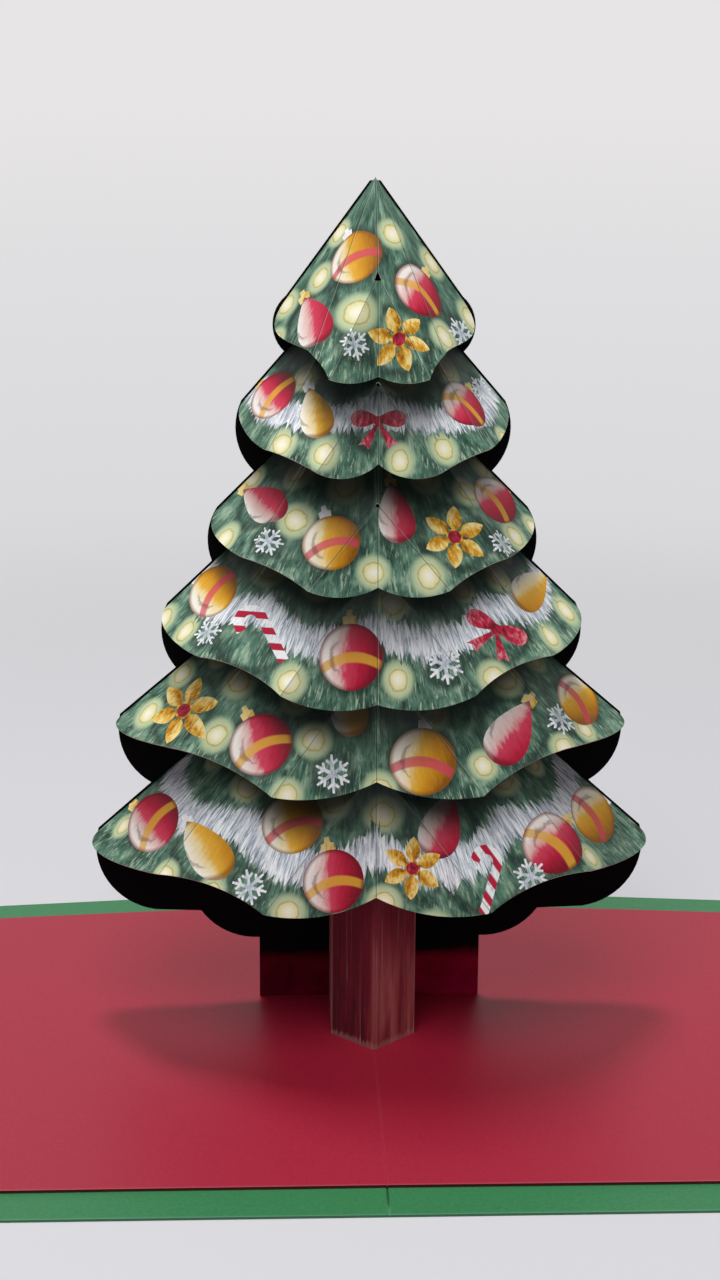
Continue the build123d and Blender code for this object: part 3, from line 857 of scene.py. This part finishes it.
def cardStock(name, look):
    # a pale line along its front edge, a painted highlight; and a line along the gutter crease: on the cover
    # a dark crack, paler at the front, and on the page a lighter red, painted light that hides the crease's
    # shade
    material, tree = newMaterial(name)
    geometry = addNode(tree, "NewGeometry")
    place = geometry.outputs["Position"]
    felt = paperGrain(tree, place, cardLook["grainMm"])
    colour = addNode(tree, "ValToRGB", {"stops": ((0.3, 0.7), look["shades"])}, {0: felt})
    level = addNode(tree, "SeparateXYZ", None, {0: geometry.outputs["True Normal"]}).outputs[2]
    across, along = addNode(tree, "SeparateXYZ", None, {0: place}).outputs[:2]
    front = look["edgeY"]
    crease = layPaint(tree, look["creaseFront"], look["crease"], along, mm(front + 1.0), mm(front + 4.5))
    offFold = addNode(tree, "Math", "ABSOLUTE", {0: across})
    # the gutter line: a dark crack on the cover, and on the page painted light over the crease's shade
    colour = layPaint(tree, colour, crease, offFold, mm(0.3), mm(0.1), 0.6)
    # painted highlight: a pale line along the front edge
    colour = layPaint(tree, look["rim"], colour, along, mm(front), mm(front + 0.5))
    colour = layPaint(tree, look["edge"], colour, level, 0.3, 0.7)
    closeMaterial(tree, colour, cardLook["rough"], felt, cardLook["grainHigh"], cardLook["specular"])
    return material


# The trunk's card is coated and printed: streaky bark in matt ink, pale along its folds and at its foot, and
# painted shade that darkens it towards the top, under the lowest tier
trunkLook = {"left": ["#410817", "#5E0E20", "#742029"], "right": ["#6B1826", "#8C353E", "#A65A5A"],
             "top": "#640C22", "pale": "#B98580", "washMm": 2.6, "streakMm": 0.45, "long": 26.0,
             "shadeFrom": 11.0, "shadeTo": 29.0, "foldFrom": 7.3, "foldTo": 7.55, "fibre": 0.7, "ragged": 4.0,
             "rough": 0.6, "specular": 0.25, "grainHigh": 0.08}


def barkMarks(tree, place, width, length):
    # upright streaks, so wide and so long in mm
    across, along = 1 / mm(width), 1 / mm(length)
    scaled = addNode(tree, "VectorMath", "MULTIPLY", {0: place, 1: (across, across, along)})
    return addNode(tree, "TexNoise", None,
                   {"Vector": scaled, "Scale": 1.0, "Detail": 3.0, "Roughness": 0.65, "Distortion": 0.4})


def paintedTrunk():
    # soft upright washes, painted shade darker to the top, thin pale streaks, pale folds and a torn-looking
    # foot
    material, tree = newMaterial("printedBarkCard")
    look = trunkLook
    place = addNode(tree, "NewGeometry").outputs["Position"]
    x, _, z = addNode(tree, "SeparateXYZ", None, {0: place}).outputs[:3]
    wash = barkMarks(tree, place, look["washMm"], look["long"])
    left, right = (addNode(tree, "ValToRGB", {"stops": ((0.36, 0.5, 0.66), look[side])}, {0: wash})
                   for side in ("left", "right"))
    colour = layPaint(tree, left, right, x, mm(-1.5), mm(1.0))
    # painted shade: darker towards the top, where the lowest tier shades the trunk
    colour = layPaint(tree, colour, look["top"], z, mm(look["shadeFrom"]), mm(look["shadeTo"]), 0.75)
    streaks = barkMarks(tree, place, look["streakMm"], look["long"])
    colour = layPaint(tree, colour, look["pale"], streaks, 0.56, 0.74, 0.4)
    colour = layPaint(tree, colour, look["left"][0], streaks, 0.44, 0.3, 0.5)
    reach = addNode(tree, "Math", "ABSOLUTE", {0: x})
    colour = layPaint(tree, colour, look["pale"], reach, mm(look["foldFrom"]), mm(look["foldTo"]), 0.45)
    ragged = addNode(tree, "Math", "MULTIPLY_ADD", {0: streaks, 1: mm(-look["ragged"]), 2: z})
    foot = treeSpot["base"] - look["ragged"] / 2
    colour = layPaint(tree, colour, look["pale"], ragged, mm(foot + look["fibre"]), mm(foot), 0.4)
    closeMaterial(tree, colour, look["rough"], streaks, look["grainHigh"], look["specular"])
    return material


# The panel is uncoated black card, which swallows light; its foot is printed maroon, up to inkTop mm, and the
# maroon is lighter on the right half, painted light as if that side were lit more
panelLook = {"black": ["#030203", "#060405"], "left": ["#4E051C", "#860C2E"], "right": ["#820A2C", "#C81650"],
             "inkTop": 9.9, "washMm": 9.0, "ragged": 4.0, "rough": 0.8, "specular": 0.06}


def panelCard():
    # black felt marks, and maroon washes with a soft brushed upper edge
    material, tree = newMaterial("blackCardStock")
    look = panelLook
    place = addNode(tree, "NewGeometry").outputs["Position"]
    x, _, z = addNode(tree, "SeparateXYZ", None, {0: place}).outputs[:3]
    felt = paperGrain(tree, place, cardLook["grainMm"], 0.5)
    wash = barkMarks(tree, place, look["washMm"], look["washMm"])
    black, left, right = (addNode(tree, "ValToRGB", {"stops": ((0.3, 0.7), look[name])}, {0: marks})
                          for name, marks in (("black", felt), ("left", wash), ("right", wash)))
    # painted light: the maroon is lighter on the right half, as if that side were lit more
    maroon = layPaint(tree, left, right, x, mm(-2.0), mm(2.0))
    height = addNode(tree, "Math", "MULTIPLY_ADD", {0: wash, 1: mm(look["ragged"]), 2: z})
    top = treeSpot["base"] + look["inkTop"]
    colour = layPaint(tree, maroon, black, height, mm(top - 1.4), mm(top + 1.6))
    closeMaterial(tree, colour, look["rough"], felt, cardLook["grainHigh"], look["specular"])
    return material


def dress(node, material):
    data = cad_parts[node].data
    data.materials.clear()
    data.materials.append(material)


dress("cover_card", cardStock("greenCoverCard", coverLook))
dress("liner_sheet", cardStock("redPagePaper", pageLook))
dress("tree_panel", panelCard())
dress("trunk_column", paintedTrunk())
print("card: card stock dressed")

# Camera: a little above the tree, looking down past it to the page (mm and degrees; focal in a 720 px frame)
cameraLook = {"place": (-16.9, -357.8, 168.7), "pitch": 14.42, "yaw": 2.275, "roll": -0.367,
              "focalPx": 2100.0, "framePx": 720, "sensorMm": 36.0, "near": 0.01}


def placeCamera():
    look = cameraLook
    pitch, yaw, roll = (radians(look[name]) for name in ("pitch", "yaw", "roll"))
    ahead = Vector((sin(yaw) * cos(pitch), cos(yaw) * cos(pitch), -sin(pitch)))
    across = Vector((cos(yaw), -sin(yaw), 0))
    down = ahead.cross(across)
    right = across * cos(roll) + down * sin(roll)
    up = right.cross(ahead)
    camera = bpy.data.objects.new("photoCamera", bpy.data.cameras.new("photoCamera"))
    camera.data.sensor_fit = "HORIZONTAL"
    camera.data.sensor_width = look["sensorMm"]
    camera.data.lens = look["sensorMm"] * look["focalPx"] / look["framePx"]
    camera.data.clip_start = look["near"]
    turn = Matrix((right, up, -ahead)).transposed()
    camera.matrix_world = Matrix.Translation(mm(Vector(look["place"]))) @ turn.to_4x4()
    bpy.context.scene.collection.objects.link(camera)
    bpy.context.scene.camera = camera


# Light: a ceiling lamp a bit behind the card, a broad softbox above the camera, a dim room (watts, metres)
lamps = {"ceilingLamp": dict(place=(-0.11, 0.25, 1.14), aim=(0, 0, 0.04), size=0.24, watts=6.4),
         "frontSoftbox": dict(place=(-0.14, -0.62, 1.06), aim=(0, 0, 0.06), size=0.9, watts=9.0)}
roomGlow = 0.1
# Table: lit near the card, even from one reach to the other (metres), then paler the further off it is
tableLook = {"floor": "#D9D8DC", "wall": ["#E7E5E6", "#DEDDDF", "#DADADC", "#D6D6D8"],
             "lit": 0.2, "even": 0.55, "fade": 0.45, "nearer": 0.36, "rough": 0.6, "specular": 0.2,
             "radius": 60.0, "dropMm": 0.02}


def addLamp(name, place, aim, size, watts):
    lamp = bpy.data.lights.new(name, "AREA")
    lamp.shape = "DISK"
    lamp.size = size
    lamp.energy = watts
    holder = bpy.data.objects.new(name, lamp)
    holder.location = place
    holder.rotation_euler = (Vector(aim) - Vector(place)).to_track_quat("-Z", "Y").to_euler()
    bpy.context.scene.collection.objects.link(holder)


def seenRays(tree):
    # 1 for what the camera or a reflection sees, 0 for light on the card
    rays = addNode(tree, "LightPath").outputs
    return addNode(tree, "Math", "MAXIMUM", {0: rays["Is Camera Ray"], 1: rays["Is Glossy Ray"]})


def studioFloor():
    # pale laminate: lit and shaded near the card, and one smooth pale wall of colour further out
    look = tableLook
    material, tree = newMaterial("paleTable")
    place = addNode(tree, "NewGeometry").outputs["Position"]
    reach = addNode(tree, "VectorMath", "LENGTH", {0: place}).outputs["Value"]
    painted = addNode(tree, "BsdfPrincipled", None,
                      {"Base Color": look["floor"], "Roughness": look["rough"],
                       "Specular IOR Level": look["specular"]})
    further = addNode(tree, "Math", "ADD", {0: reach, 1: look["nearer"]})
    nearness = addNode(tree, "Math", "DIVIDE", {0: look["fade"], 1: further})
    tone = addNode(tree, "ValToRGB", {"stops": ((0.0, 0.25, 0.5, 1.0), look["wall"])}, {0: nearness})
    even = addNode(tree, "Emission", None, {0: tone})
    blend = addNode(tree, "MapRange", {"interpolation_type": "SMOOTHSTEP"},
                    {0: reach, 1: look["lit"], 2: look["even"]})
    share = addNode(tree, "Math", "MULTIPLY", {0: blend, 1: seenRays(tree)})
    both = addNode(tree, "MixShader", None, {0: share, 1: painted, 2: even})
    addNode(tree, "OutputMaterial", None, {"Surface": both})
    mesh = bpy.data.meshes.new("paleTable")
    mesh.from_pydata([(p * look["radius"]).to_3d() for p in circleShape(48)], [], [tuple(range(48))])
    mesh.materials.append(material)
    floor = bpy.data.objects.new("pale_table", mesh)
    floor.location.z = -mm(look["dropMm"])
    bpy.context.scene.collection.objects.link(floor)


def studioWorld():
    world = bpy.data.worlds.new("softStudio")
    world.use_nodes = True
    tree = world.node_tree
    tree.nodes.clear()
    light = addNode(tree, "Background", None, {0: "#FFFFFF", 1: roomGlow})
    wall = addNode(tree, "Background", None, {0: tableLook["wall"][0], 1: 1.0})
    both = addNode(tree, "MixShader", None, {0: seenRays(tree), 1: light, 2: wall})
    addNode(tree, "OutputWorld", None, {"Surface": both})
    bpy.context.scene.world = world


placeCamera()
for lampName, lampLook in lamps.items():
    addLamp(lampName, **lampLook)
studioFloor()
studioWorld()
bpy.context.scene.view_settings.view_transform = "Standard"
print("card: camera, lamps and table set")
